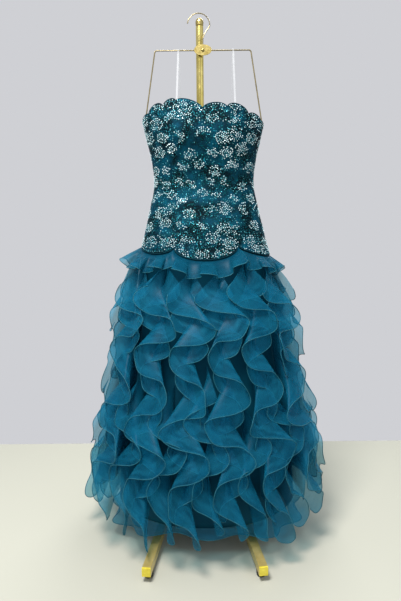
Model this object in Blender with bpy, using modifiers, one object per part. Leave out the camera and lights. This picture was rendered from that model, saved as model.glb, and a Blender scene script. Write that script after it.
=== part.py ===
# Strapless ruffled gown hanging on a gold display stand.
# Metres, +Z up, front towards -Y, floor at z = 0. Run with: blender --background --python part.py

import math

import bmesh
import bpy
from mathutils import Vector

# Cloth
WALL = 0.0016  # bodice and lining walls
RUFFLE_WALL = 0.0011
SEAM_GAP = 0.0003  # between pieces that meet
KINK = 0.0002  # how far the lining's rings may stand out between a ruffle's rows

# The middle of the whole object's box, seen from above, is put at x = 0, y = 0
CENTRE_X = -0.0003
CENTRE_Y = 0.0007

# Bodice rings: height, half width, depth of the front half, depth of the back half
BODICE_RINGS = [
    (1.320, 0.184, 0.092, 0.084),
    (1.262, 0.181, 0.096, 0.086),
    (1.204, 0.169, 0.094, 0.080),
    (1.151, 0.157, 0.082, 0.073),
    (1.080, 0.150, 0.068, 0.065),
    (1.009, 0.164, 0.076, 0.078),
    (0.955, 0.177, 0.088, 0.093),
    (0.900, 0.191, 0.099, 0.105),
    (0.840, 0.209, 0.114, 0.119),
]
FRONT_COLUMNS, FRONT_ROWS = 36, 9
BACK_COLUMNS, BACK_ROWS = 12, 7
BUST_X = 0.078  # each cup's middle
BUST_Z = 1.215
BUST_REACH = 0.012  # how far a cup stands out of the oval
BUST_WIDE, BUST_TALL = 0.052, 0.050  # spread of each cup

# Scalloped edges of the bodice: x at the valley, height there, how far the lobe to its right swells
NECKLINE = [
    (-0.181, 1.262, 0.008),
    (-0.158, 1.273, 0.018),
    (-0.115, 1.288, 0.014),
    (-0.077, 1.300, 0.015),
    (-0.003, 1.277, 0.016),
    (0.066, 1.281, 0.020),
    (0.128, 1.265, 0.012),
    (0.168, 1.254, 0.005),
    (0.181, 1.248, 0.0),
]
HIP_EDGE = [
    (-0.196, 0.896, 0.022),
    (-0.092, 0.895, 0.040),
    (0.098, 0.896, 0.010),
    (0.196, 0.868, 0.0),
]
BACK_NECK_Z = 1.240  # middle of the back, a little under the side seams
BACK_NECK_LOBES = 6
BACK_LOBE = 0.010
BACK_HIP_Z = 0.885
BACK_HIP_LOBES = 4
BACK_HIP_LOBE = 0.026

# Soft drag folds over the hips: x and height of the middle, length, height of the ridge, lean in radians
DRAG_FOLDS = [
    (0.095, 0.985, 0.150, 0.0040, 0.30),
    (0.060, 0.945, 0.190, 0.0035, 0.22),
    (-0.070, 0.960, 0.140, 0.0030, -0.12),
    (-0.035, 1.015, 0.120, 0.0025, 0.10),
]
FOLD_WIDTH = 0.013

# Lining rings under the bodice's edge: height, half width, half depth
UNDER_RINGS = [
    (0.860, 0.196, 0.103),
    (0.760, 0.211, 0.124),
    (0.600, 0.229, 0.152),
    (0.440, 0.252, 0.181),
    (0.280, 0.270, 0.206),
    (0.100, 0.283, 0.226),
]
LINING_COLUMNS = 24  # in each half
LINING_TOP, LINING_HEM = 0.930, 0.100  # the top is tucked inside the bodice
TUCK = 0.0011  # from the lining's top edge to the bodice's inside

# Sheer band sewn inside the lining's hem
BAND_TOP = 0.160
BAND_WAVES = 11
BAND_STRAIGHT = 0.004  # how far below the lining's hem it starts to flare
BAND_FLARE = 0.0168  # how far its edge stands outside the lining
BAND_WAVE = 0.016  # how far it waves in and out
BAND_DRIFT = 0.8  # radians by which its waves crowd and spread
BAND_EDGE_FRONT = 0.078  # height of its edge in the middle of the front
BAND_EDGE_SIDE = 0.052
BAND_DIP = 0.008  # how much the edge rises and falls on the way round

# Ruffles: strips sewn on from the hip, which hang in swings, and shorter ones between them lower down
RUFFLE_HIP = 0.880
UNDER_FRILL = 0.032  # from the bodice's edge down to a long ruffle's top
RUFFLE_END = 0.188  # height where the seams end
END_VARIES = 0.018  # how much that height varies from one to the next
FIRST_SEAM = -0.47  # where the first seam lies, in seam spacings from the middle of the front
TOP_STAND, HEM_STAND = 0.064, 0.122  # how far the free edge stands out of the lining
TOP_DROOP, HEM_DROOP = 0.076, 0.112  # how far it hangs under its seam
TOP_SWAY, HEM_SWAY = 0.074, 0.045  # how far it swings to each side
TOP_WAVE, HEM_WAVE = 0.150, 0.210  # height of one wave
TOP_CURL, HEM_CURL = 0.004, 0.005  # how far each swing overhangs the next
TILT = 0.05  # a swing to the right hangs lower, one to the left stands higher
UNEVEN_SWAY, UNEVEN_DROOP = 0.20, 0.12  # shares by which the swings differ
UNEVEN_PACE, DROOP_PACE = 0.41, 0.5  # waves of that unevenness in each wave
TOP_SIZE, TOP_GROWTH = 0.85, 0.060  # share of its size at the top, and height of the growth to full size
END_SIZE, END_GROWTH = 0.85, 0.060  # the same at the lower end
BOW = 0.25  # how much faster a strip stands out near its seam than near its edge
SWING_BEND, HANG_BEND = 1.5, 1.6  # powers of the way out, by which it swings and hangs
END_PACE = 2.3  # radians from one seam to the next, by which their ends vary
# Where each long ruffle is in its wave, in whole waves: at the hip, at the hem
LONG_PHASES = [
    (0.34, 0.44),
    (0.40, 0.49),
    (0.45, 0.53),
    (0.48, 0.56),
    (0.45, 0.52),
    (0.41, 0.46),
    (0.45, 0.48),
    (0.49, 0.53),
    (0.46, 0.51),
    (0.41, 0.45),
    (0.37, 0.40),
    (0.40, 0.44),
    (0.41, 0.46),
    (0.37, 0.42),
]
# Shorter ruffles: the long seam each one follows, top height
SHORT_RUFFLES = [
    (0, 0.560),
    (1, 0.450),
    (2, 0.520),
    (3, 0.580),
    (4, 0.430),
    (5, 0.540),
    (6, 0.480),
    (7, 0.530),
    (8, 0.440),
    (9, 0.530),
    (10, 0.580),
    (11, 0.460),
    (12, 0.540),
    (13, 0.500),
]
SHORT_SIZE = 0.90  # of the shorter ruffles against the long ones
SHORT_LAG = 0.03  # in waves, behind the long ruffles beside them
FOLD_ROWS = (0.12, 0.33, 0.44, 0.56, 0.74)  # rows of points in each half wave, close at its fold
END_ROW = 0.005  # no other row of points this close to a strip's end
CELLS_OUT = 2  # cells from the seam to the free edge

# Gathered frill along the hip, over the ruffles' tops
FRILL_COLUMNS = 48  # in each half, two on each of the lining's facets
FRILL_UNDER = 0.004  # from the bodice's edge down to the frill's seam
FRILL_STAND, FRILL_DROOP = 0.036, 0.040
FRILL_WAVES = 8  # in each half
FRILL_WAVE = 0.015  # how far a flute stands out beyond the rest
FRILL_CURL = 0.0065  # how far each flute swells over its neighbours
FRILL_UNEVEN = 0.14  # share by which the flutes that stand out hang less
FRILL_DRIFT = 0.9  # radians by which its waves crowd and spread round the hip
FRILL_LEAN = 0.9  # how far its wall lies flat against the lining, 1 being wholly
FRILL_END = 0.004  # angle left free at each end

# Stand
POST_X = -0.009
POST_RADIUS = 0.011
POST_TOP = 1.5285
CAP_TOP = 1.553
WIRE = 0.002  # radius of the frame's wire
FRAME_Y = -0.0135
FRAME_TOP = 1.459
FRAME_SHOULDER = 0.140  # half width at the top corners
FRAME_ARM, FRAME_LOW = 1.255, 0.950  # the sides follow the bodice's inside between these heights
FRAME_CLEAR = 0.0015
PLATE_X = 0.0
PLATE_HALF_WIDTH, PLATE_HALF_HEIGHT, PLATE_THICK = 0.0255, 0.015, 0.003
HOOK_RADIUS = 0.0325
HOOK_WIRE = 0.0015
HOOK_X, HOOK_Z = -0.0118, 1.528
LOOP_CORD = 0.0013
# Each loop's columns, in degrees round the bodice: at the front, at the back
LOOP_COLUMNS = {"left": (245.0, 112.5), "right": (300.0, 60.0)}
BAR = 0.024  # square tube of the base
FOOT_HEIGHT = 0.018
FOOT_RADIUS = 0.013
LEG_INNER_X, LEG_OUTER_X = 0.118, 0.158
LEG_REACH = 0.316
FOOT_FROM_END = 0.030
CAP_LONG = 0.006

# Colours, linear, with roughness and metallic
SEQUIN_TEAL = ((0.012, 0.110, 0.150, 1), 0.35, 0.30)
LINING_TEAL = ((0.006, 0.050, 0.075, 1), 0.55, 0.0)
ORGANZA_TEAL = ((0.020, 0.160, 0.260, 1), 0.40, 0.0)
GOLD = ((0.560, 0.450, 0.150, 1), 0.28, 1.0)
CAP_GOLD = ((0.780, 0.660, 0.060, 1), 0.40, 0.0)
STEEL = ((0.620, 0.610, 0.560, 1), 0.25, 1.0)
CLEAR_CORD = ((0.850, 0.860, 0.860, 1), 0.30, 0.0)
RUBBER = ((0.015, 0.015, 0.017, 1), 0.70, 0.0)


def start_scene():
    for thing in list(bpy.data.objects):
        bpy.data.objects.remove(thing)
    collection = bpy.data.collections.new("ruffled_gown_on_stand")
    bpy.context.scene.collection.children.link(collection)
    root = bpy.data.objects.new("centre", None)
    root.location = (-CENTRE_X, -CENTRE_Y, 0)
    collection.objects.link(root)
    return collection, root


def finish_of(name, looks):
    colour, roughness, metallic = looks
    material = bpy.data.materials.new(name)
    material.use_nodes = True
    shader = material.node_tree.nodes["Principled BSDF"]
    shader.inputs["Base Color"].default_value = colour
    shader.inputs["Roughness"].default_value = roughness
    shader.inputs["Metallic"].default_value = metallic
    return material


def add_part(name, data, looks):
    """Puts a mesh or curve in the gown's collection, under the centre, with its own material."""
    part = bpy.data.objects.new(name, data)
    data.materials.append(finish_of(name, looks))
    COLLECTION.objects.link(part)
    part.parent = ROOT
    return part


def smooth(mesh, sharp_degrees=35):
    mesh.shade_smooth()
    mesh.set_sharp_from_angle(angle=math.radians(sharp_degrees))


def grid_faces(tall, wide, first=0):
    """Triangles of a grid of points, tall rows of wide points, counted from first."""
    faces = []
    for r in range(tall - 1):
        for c in range(wide - 1):
            a = first + r * wide + c
            b, beside = a + wide, a + 1
            faces += [(a, b, b + 1), (a, b + 1, beside)]
    return faces


def strip(name, rows, looks, wall):
    """A sheet through rows of points, with half its wall on each side."""
    mesh = bpy.data.meshes.new(name)
    points = [p for row in rows for p in row]
    wide, faces = len(rows[0]), []
    for r in range(len(rows) - 1):
        for a in range(r * wide, (r + 1) * wide - 1):
            b, c, d = a + wide, a + wide + 1, a + 1
            if (points[a] - points[c]).length < (points[b] - points[d]).length:
                faces += [(a, b, c), (a, c, d)]
            else:
                faces += [(a, b, d), (b, c, d)]
    mesh.from_pydata(points, [], faces)
    smooth(mesh)
    part = add_part(name, mesh, looks)
    solid = part.modifiers.new("wall", "SOLIDIFY")
    solid.thickness = wall
    solid.offset = 0
    return part


def panel(name, outer, inner, looks):
    """A cut piece between its outer rows and its inner rows of points, closed round its edge."""
    tall, wide = len(outer), len(outer[0])
    count = tall * wide
    faces = grid_faces(tall, wide)
    faces += [face[::-1] for face in grid_faces(tall, wide, count)]
    for r in range(tall - 1):
        for c, turn in ((0, 1), (wide - 1, -1)):
            a, b = r * wide + c, (r + 1) * wide + c
            faces.append((a, a + count, b + count, b)[::turn])
    for c in range(wide - 1):
        for r, turn in ((0, -1), (tall - 1, 1)):
            a, b = r * wide + c, r * wide + c + 1
            faces.append((a, a + count, b + count, b)[::turn])
    mesh = bpy.data.meshes.new(name)
    mesh.from_pydata([p for row in outer + inner for p in row], [], faces)
    smooth(mesh)
    return add_part(name, mesh, looks)


def read_rings(rings, height):
    """The ring's sizes at a height, on a smooth curve through the table's rows."""
    rows = sorted(rings)
    if height <= rows[0][0]:
        return rows[0][1:]
    if height >= rows[-1][0]:
        return rows[-1][1:]
    k = next(i for i in range(len(rows) - 1) if rows[i + 1][0] >= height)
    low, high = rows[k], rows[k + 1]
    before, after = rows[max(k - 1, 0)], rows[min(k + 2, len(rows) - 1)]
    span = high[0] - low[0]
    t = (height - low[0]) / span
    sizes = []
    for n in range(1, len(low)):
        slope_low = (high[n] - before[n]) / (high[0] - before[0]) * span
        slope_high = (after[n] - low[n]) / (after[0] - low[0]) * span
        sizes.append(
            (2 * t**3 - 3 * t**2 + 1) * low[n]
            + (t**3 - 2 * t**2 + t) * slope_low
            + (3 * t**2 - 2 * t**3) * high[n]
            + (t**3 - t**2) * slope_high
        )
    return sizes


# Bodice


def scalloped(table, x):
    """Height of a scalloped edge at x; each lobe swells between two valleys."""
    x = min(max(x, table[0][0]), table[-1][0])
    k = next(i for i in range(len(table) - 1) if table[i + 1][0] >= x)
    (x0, z0, swell), (x1, z1, _) = table[k], table[k + 1]
    t = (x - x0) / (x1 - x0)
    return z0 + (z1 - z0) * t, swell * math.sqrt(max(0.0, 4 * t * (1 - t)))


def neckline(angle):
    """Height of the top edge. Angles run from the left side (pi) by the front to the right (2 pi) and on."""
    if math.sin(angle) <= 0:
        level, swell = scalloped(NECKLINE, NECKLINE[-1][0] * math.cos(angle))
        return level + swell
    side = NECKLINE[-1][1] if math.cos(angle) > 0 else NECKLINE[0][1]
    level = side + (BACK_NECK_Z - side) * math.sin(angle) ** 0.8
    return level + BACK_LOBE * abs(math.sin(angle * BACK_NECK_LOBES))


def hip_edge(angle):
    """Height of the bodice's lower edge, whose lobes hang down."""
    if math.sin(angle) <= 0:
        level, swell = scalloped(HIP_EDGE, HIP_EDGE[-1][0] * math.cos(angle))
        return level - swell
    side = HIP_EDGE[-1][1] if math.cos(angle) > 0 else HIP_EDGE[0][1]
    level = side + (BACK_HIP_Z - side) * math.sin(angle) ** 0.8
    return level - BACK_HIP_LOBE * abs(math.sin(angle * BACK_HIP_LOBES))


def drag(x, height):
    """How far the cloth stands out in the soft folds over the hips."""
    out = 0.0
    for mid_x, mid_z, length, ridge, lean in DRAG_FOLDS:
        along = (x - mid_x) * math.cos(lean) + (height - mid_z) * math.sin(lean)
        across = (height - mid_z) * math.cos(lean) - (x - mid_x) * math.sin(lean)
        out += ridge * math.exp(-((along / length * 2) ** 2) - (across / FOLD_WIDTH) ** 2)
    return out


def ring_angles(start, end, columns):
    return [start + (end - start) * c / columns for c in range(columns + 1)]


def keep_gap(point, angle, start, end):
    """Moves a panel's end columns half a seam gap back from the seam's plane."""
    half = SEAM_GAP / 2
    if angle in (start, end):
        if abs(math.cos(angle)) < 0.5:
            point.x = half if start < math.pi / 2 else -half
        else:
            point.y = half if 0 < (start + end) / 2 < math.pi else -half
    return point


def bodice_point(angle, height, wall=0.0):
    wide, front, back = read_rings(BODICE_RINGS, height)
    x = wide * math.cos(angle)
    out = 0.0
    if math.sin(angle) < 0:
        for cup in (-BUST_X, BUST_X):
            away = ((x - cup) / BUST_WIDE) ** 2 + ((height - BUST_Z) / BUST_TALL) ** 2
            out += BUST_REACH * math.exp(-away)
        out += drag(x, height)
    deep = back if math.sin(angle) > 0 else front + out
    return Vector(((wide - wall) * math.cos(angle), (deep - wall) * math.sin(angle), height))


def row_height(angle, row, rows):
    """Height of a panel's row, counted down from the neckline."""
    low, high = hip_edge(angle), neckline(angle)
    return high + (low - high) * row / rows


def bodice_panel(name, start, end, columns, rows):
    outer, inner = [], []
    for row in range(rows + 1):
        for grid, wall in ((outer, 0.0), (inner, WALL)):
            line = []
            for angle in ring_angles(start, end, columns):
                point = bodice_point(angle, row_height(angle, row, rows), wall)
                line.append(keep_gap(point, angle, start, end))
            grid.append(line)
    return panel(name, outer, inner, SEQUIN_TEAL)


def make_bodice():
    bodice_panel("bodice_front", math.pi, 2 * math.pi, FRONT_COLUMNS, FRONT_ROWS)
    bodice_panel("bodice_back_right", 0.0, math.pi / 2, BACK_COLUMNS, BACK_ROWS)
    bodice_panel("bodice_back_left", math.pi / 2, math.pi, BACK_COLUMNS, BACK_ROWS)


# Skirt


def lining_point(angle, height, out=0.0):
    wide, deep = read_rings(LINING_RINGS, height)
    return Vector(
        ((wide + out) * math.cos(angle), (deep + out) * math.sin(angle), height)
    )


def lining_rings():
    tucked = [size - WALL - TUCK for size in read_rings(BODICE_RINGS, LINING_TOP)]
    return [(LINING_TOP, tucked[0], min(tucked[1:]))] + UNDER_RINGS


def make_lining():
    for name, start in (("lining_front", math.pi), ("lining_back", 0.0)):
        end, grids = start + math.pi, []
        for out in (0.0, -WALL):
            grids.append(
                [
                    [
                        keep_gap(lining_point(angle, ring[0], out), angle, start, end)
                        for angle in ring_angles(start, end, LINING_COLUMNS)
                    ]
                    for ring in LINING_RINGS
                ]
            )
        panel(name, *grids, LINING_TEAL)


def band_edge(angle):
    """Height of the sheer band's lower edge: highest in the middle of the front."""
    front = max(0.0, -math.sin(angle)) ** 3
    level = BAND_EDGE_SIDE + (BAND_EDGE_FRONT - BAND_EDGE_SIDE) * front
    return level + BAND_DIP * math.sin(3 * angle + 0.6)


def make_band():
    """Each half has two columns for each of the lining's, whose flat facets its top rows follow."""
    inside = WALL + SEAM_GAP + KINK
    for name, start in (("hem_band_front", math.pi), ("hem_band_back", 0.0)):
        end, grids = start + math.pi, []
        angles = ring_angles(start, end, 2 * LINING_COLUMNS)
        for wall in (0.0, RUFFLE_WALL):
            grid = []
            for height in (BAND_TOP, LINING_HEM - BAND_STRAIGHT):
                row = [lining_point(a, max(height, LINING_HEM), -inside - wall) for a in angles]
                for c in range(1, len(row), 2):
                    row[c] = (row[c - 1] + row[c + 1]) / 2
                for point in row:
                    point.z = height
                grid.append(row)
            edge = []
            for angle in angles:
                wave = BAND_WAVE * math.sin(BAND_WAVES * angle + BAND_DRIFT * math.sin(2 * angle))
                point = lining_point(angle, LINING_HEM, BAND_FLARE + wave - wall)
                point.z = band_edge(angle)
                edge.append(point)
            grid.append(edge)
            grids.append(
                [[keep_gap(p, a, start, end) for p, a in zip(row, angles)] for row in grid]
            )
        panel(name, *grids, ORGANZA_TEAL)


def lining_arc():
    """Angles of the lining's ring against distance along it, from the middle of the front."""
    wide, deep = read_rings(LINING_RINGS, 0.6)
    steps, along, table = 720, 0.0, [(0.0, -math.pi / 2)]
    for k in range(1, steps + 1):
        a, b = (-math.pi / 2 + 2 * math.pi * n / steps for n in (k - 1, k))
        along += math.hypot(
            wide * (math.cos(b) - math.cos(a)), deep * (math.sin(b) - math.sin(a))
        )
        table.append((along, b))
    return [(part / along, angle) for part, angle in table]


def seam_angle(share):
    """The angle at a share of the way round the skirt, from the middle of the front."""
    share = share % 1.0
    k = next(i for i in range(len(ARC) - 1) if ARC[i + 1][0] >= share)
    (a0, f0), (a1, f1) = ARC[k], ARC[k + 1]
    return f0 + (f1 - f0) * (share - a0) / (a1 - a0)


def waves_down(height):
    """How many waves a ruffle has made from the hip down to a height."""
    growth = HEM_WAVE - TOP_WAVE
    count = math.log(1 + growth / TOP_WAVE * share_down(height)) / growth
    return count * (RUFFLE_HIP - LINING_HEM)


def phase_at(seam, down):
    """Where the wave is at a share of the way down, on a long seam or half way to the next."""
    k = int(seam)
    here, after = (LONG_PHASES[n % len(LONG_PHASES)] for n in (k, k + 1))
    here_now = here[0] + (here[1] - here[0]) * down
    after_now = after[0] + (after[1] - after[0]) * down
    lag = SHORT_LAG if seam > k else 0.0
    return here_now + (after_now - here_now) * (seam - k) + lag


def share_down(height):
    return (RUFFLE_HIP - height) / (RUFFLE_HIP - LINING_HEM)


def grown_at(height, top, bottom):
    """The share of its full size that a ruffle has at a height, smaller towards its two ends."""
    from_top = min(1.0, (top - height) / TOP_GROWTH)
    from_end = max(0.0, min(1.0, (height - bottom) / END_GROWTH))
    risen = TOP_SIZE + (1 - TOP_SIZE) * from_top
    return risen * (END_SIZE + (1 - END_SIZE) * math.sqrt(from_end))


def on_lining(angle, height, out):
    """A point out from the flat facets of the lining."""
    step = math.pi / LINING_COLUMNS
    column = math.floor(angle / step)
    tops = [ring[0] for ring in LINING_RINGS]
    k = next(i for i in range(len(tops) - 1) if tops[i + 1] <= height)
    upper, lower = (
        lining_point(step * column, level).lerp(
            lining_point(step * (column + 1), level), angle / step - column
        )
        for level in (tops[k], tops[k + 1])
    )
    along = lining_point(step * (column + 1), height) - lining_point(step * column, height)
    normal = along.cross(upper - lower).normalized()
    return upper.lerp(lower, (tops[k] - height) / (tops[k] - tops[k + 1])) + normal * out


def skirt_axes(angle, height):
    """Directions straight out of the lining's oval and along it."""
    wide, deep = read_rings(LINING_RINGS, height)
    normal = Vector((math.cos(angle) / wide, math.sin(angle) / deep, 0)).normalized()
    return normal, Vector((-normal.y, normal.x, 0))


def ruffle_row(angle, height, ends, seam, size):
    """Points from the seam to the free edge, where a strip crosses one height."""
    down = share_down(height)
    turn = 2 * math.pi * (phase_at(seam, down) + waves_down(height))
    grown = grown_at(height, *ends) * size
    sway = TOP_SWAY + (HEM_SWAY - TOP_SWAY) * down
    side = sway * grown * math.sin(turn) * (1 + UNEVEN_SWAY * math.sin(UNEVEN_PACE * turn))
    droop = TOP_DROOP + (HEM_DROOP - TOP_DROOP) * down
    droop *= grown * (1 + UNEVEN_DROOP * math.sin(DROOP_PACE * turn))
    stand = (TOP_STAND + (HEM_STAND - TOP_STAND) * down) * grown
    curl = TOP_CURL + (HEM_CURL - TOP_CURL) * down
    lift = curl * grown * math.sin(2 * turn) - TILT * side
    first = 1 / CELLS_OUT
    near = side * first**SWING_BEND
    lean = abs(near) / math.hypot(near, stand * first)
    start = on_lining(angle, height, SEAM_GAP + KINK + RUFFLE_WALL / 2 * lean)
    normal, along = skirt_axes(angle, height)
    row = []
    for cell in range(CELLS_OUT + 1):
        s = cell / CELLS_OUT
        out = stand * s * (1 + BOW * (1 - s))
        swing, hang = s**SWING_BEND, s**HANG_BEND
        row.append(start + normal * out + along * side * swing + Vector((0, 0, lift * swing - droop * hang)))
    return row


def row_heights(seam, top, bottom):
    """Heights of a strip's rows of points, from its top to its lower end."""
    steps, heights, last = 800, [top], None
    for n in range(steps + 1):
        height = top + (bottom - top) * n / steps
        half_waves = 2 * (phase_at(seam, share_down(height)) + waves_down(height))
        passed = int(half_waves) * len(FOLD_ROWS) + sum(half_waves % 1 > row for row in FOLD_ROWS)
        if last is not None and passed > last and min(top - height, height - bottom) > END_ROW:
            heights.append(height)
        last = passed
    return heights + [bottom]


def make_ruffle(number, seam, top, size):
    """One strip on a seam, counted in long seams from the front."""
    angle = seam_angle((seam + FIRST_SEAM) / len(LONG_PHASES))
    top = min(top, hip_edge(angle) - UNDER_FRILL)
    bottom = RUFFLE_END + END_VARIES * math.sin(END_PACE * seam)
    heights = row_heights(seam, top, bottom)
    rows = [ruffle_row(angle, height, (top, bottom), seam, size) for height in heights]
    strip(f"ruffle_{number:02d}", rows, ORGANZA_TEAL, RUFFLE_WALL)


def make_ruffles():
    seams = [(k, RUFFLE_HIP, 1.0) for k in range(len(LONG_PHASES))]
    seams += [(k + 0.5, top, SHORT_SIZE) for k, top in SHORT_RUFFLES]
    for number, (seam, top, size) in enumerate(seams, 1):
        make_ruffle(number, seam, top, size)


def bodice_edge(angle):
    """Height of the bodice's lower edge, straight between its columns."""
    step = math.pi / FRONT_COLUMNS if math.sin(angle) < 0 else math.pi / 2 / BACK_COLUMNS
    column = math.floor(angle / step)
    share = angle / step - column
    return hip_edge(step * column) * (1 - share) + hip_edge(step * (column + 1)) * share


def frill_row(angle):
    height = bodice_edge(angle) - FRILL_UNDER
    turn = 2 * FRILL_WAVES * angle + FRILL_DRIFT * math.sin(3 * angle)
    wave = FRILL_WAVE * (1 + math.sin(turn))
    droop = FRILL_DROOP * (1 - FRILL_UNEVEN * math.sin(turn + 0.5))
    start = on_lining(angle, height, SEAM_GAP + KINK + RUFFLE_WALL / 2 * FRILL_LEAN)
    normal, along = skirt_axes(angle, height)
    row = []
    for cell in range(CELLS_OUT + 1):
        s = cell / CELLS_OUT
        out = FRILL_STAND * s * (1 + BOW * (1 - s)) + wave * s**HANG_BEND
        swing = s**SWING_BEND
        shift = -FRILL_CURL * math.sin(2 * turn) * swing
        row.append(start + normal * out + along * shift - Vector((0, 0, droop * swing)))
    return row


def make_frills():
    for name, start in (("hip_frill_front", math.pi), ("hip_frill_back", 0.0)):
        angles = ring_angles(start + FRILL_END, start + math.pi - FRILL_END, FRILL_COLUMNS)
        strip(name, [frill_row(angle) for angle in angles], ORGANZA_TEAL, RUFFLE_WALL)


# Stand


def wire(name, points, radius, looks, closed=False, sides=2):
    curve = bpy.data.curves.new(name, "CURVE")
    curve.dimensions = "3D"
    curve.bevel_depth = radius
    curve.bevel_resolution = sides
    curve.use_fill_caps = True
    spline = curve.splines.new("POLY")
    spline.points.add(len(points) - 1)
    for point, place in zip(spline.points, points):
        point.co = (*place, 1)
    spline.use_cyclic_u = closed
    return add_part(name, curve, looks)


def turned(name, profile, looks, steps=20):
    """A profile of (radius, height), top to bottom, turned about its own upright axis."""
    mesh = bpy.data.meshes.new(name)
    points = [(r, 0, z) for r, z in profile]
    mesh.from_pydata(points, [(i, i + 1) for i in range(len(points) - 1)], [])
    part = add_part(name, mesh, looks)
    screw = part.modifiers.new("turn", "SCREW")
    screw.steps = screw.render_steps = steps
    screw.use_merge_vertices = True
    screw.merge_threshold = 0.00005
    return part


def box(name, size, looks):
    mesh = bpy.data.meshes.new(name)
    shape = bmesh.new()
    bmesh.ops.create_cube(shape, size=1)
    bmesh.ops.scale(shape, vec=size, verts=shape.verts)
    shape.to_mesh(mesh)
    shape.free()
    return add_part(name, mesh, looks)


def make_post():
    low = FOOT_HEIGHT + BAR + 2 * SEAM_GAP
    profile = [(0, POST_TOP), (POST_RADIUS, POST_TOP), (POST_RADIUS, low), (0, low)]
    turned("post", profile, GOLD).location.x = POST_X
    ball, base = 0.0118, POST_TOP + SEAM_GAP
    cap = [(0, CAP_TOP)]
    for k in range(1, 7):
        turn = math.pi / 2 * k / 6
        cap.append((ball * math.sin(turn), CAP_TOP - ball * (1 - math.cos(turn))))
    cap += [(ball * 0.96, base + 0.004), (ball * 0.80, base), (0, base)]
    turned("post_cap", cap, GOLD).location.x = POST_X


def frame_inside(height):
    """Half width of the wire frame where it follows the bodice's inside."""
    wide, front, _ = read_rings(BODICE_RINGS, height)
    reach = math.sqrt(1 - ((FRAME_Y - WIRE) / front) ** 2)
    return (wide - WALL) * reach - WIRE - FRAME_CLEAR


def make_frame():
    top = [(FRAME_SHOULDER - 0.004, FRAME_Y, FRAME_TOP), (FRAME_SHOULDER, FRAME_Y, FRAME_TOP - 0.004)]
    heights = [FRAME_ARM + (FRAME_LOW - FRAME_ARM) * k / 8 for k in range(9)]
    inside = [(frame_inside(z), FRAME_Y, z) for z in heights]
    last = frame_inside(FRAME_LOW)
    low = [(last - 0.006, FRAME_Y, FRAME_LOW - 0.006)]
    half = top + inside + low
    wire("wire_frame", half + [(-x, y, z) for x, y, z in half[::-1]], WIRE, STEEL, True)


def make_plate():
    back = FRAME_Y - WIRE - SEAM_GAP
    mesh = bpy.data.meshes.new("plate")
    shape = bmesh.new()
    bmesh.ops.create_cone(
        shape, cap_ends=True, segments=32, radius1=1, radius2=1, depth=PLATE_THICK
    )
    bmesh.ops.scale(shape, vec=(PLATE_HALF_WIDTH, PLATE_HALF_HEIGHT, 1), verts=shape.verts)
    shape.to_mesh(mesh)
    shape.free()
    plate = add_part("plate", mesh, GOLD)
    plate.rotation_euler.x = math.pi / 2
    plate.location = (PLATE_X, back - PLATE_THICK / 2, FRAME_TOP)
    front = back - PLATE_THICK - SEAM_GAP
    head = [(0, 0.0035), (0.0028, 0.0030), (0.0046, 0.0014), (0.0050, 0), (0, 0)]
    screw = turned("plate_screw", head, GOLD, 16)
    screw.rotation_euler.x = math.pi / 2
    screw.location = (PLATE_X, front, FRAME_TOP)


def make_hook():
    turns = [math.radians(172 - 16 * k) for k in range(12)]
    y = FRAME_Y - 0.001
    points = [
        (HOOK_X + HOOK_RADIUS * math.cos(t), y, HOOK_Z + HOOK_RADIUS * math.sin(t))
        for t in turns
    ]
    end = FRAME_TOP + PLATE_HALF_HEIGHT + HOOK_WIRE + SEAM_GAP
    points += [(0.0045, y, 1.503), (0.0005, y, 1.492), (PLATE_X, y, end - 0.0008)]
    wire("hook", points, HOOK_WIRE, STEEL)


def loop_end(degrees, rows, drop):
    """Where a loop's cord lies inside the bodice, a drop under the neckline at one of its columns."""
    angle = math.radians(degrees)
    clear = WALL + LOOP_CORD + SEAM_GAP + KINK
    top, under = (bodice_point(angle, row_height(angle, row, rows), clear) for row in (0, 1))
    return top + (under - top) * drop / (top.z - under.z)


def make_loops():
    reach = WIRE + LOOP_CORD + SEAM_GAP
    for side, (front, back) in LOOP_COLUMNS.items():
        rising = [loop_end(front, FRONT_ROWS, drop) for drop in (0.026, 0.010)]
        falling = [loop_end(back, BACK_ROWS, drop) for drop in (0.008, 0.024)]
        arc = [math.radians(200 - 27.5 * k) for k in range(9)]
        over = []
        for k, turn in enumerate(arc):
            x = rising[1].x + (falling[0].x - rising[1].x) * (0.46 + 0.01 * k)
            over.append(
                (x, FRAME_Y + reach * math.cos(turn), FRAME_TOP + reach * math.sin(turn))
            )
        wire(f"hanger_loop_{side}", rising + over + falling, LOOP_CORD, CLEAR_CORD)


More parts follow.
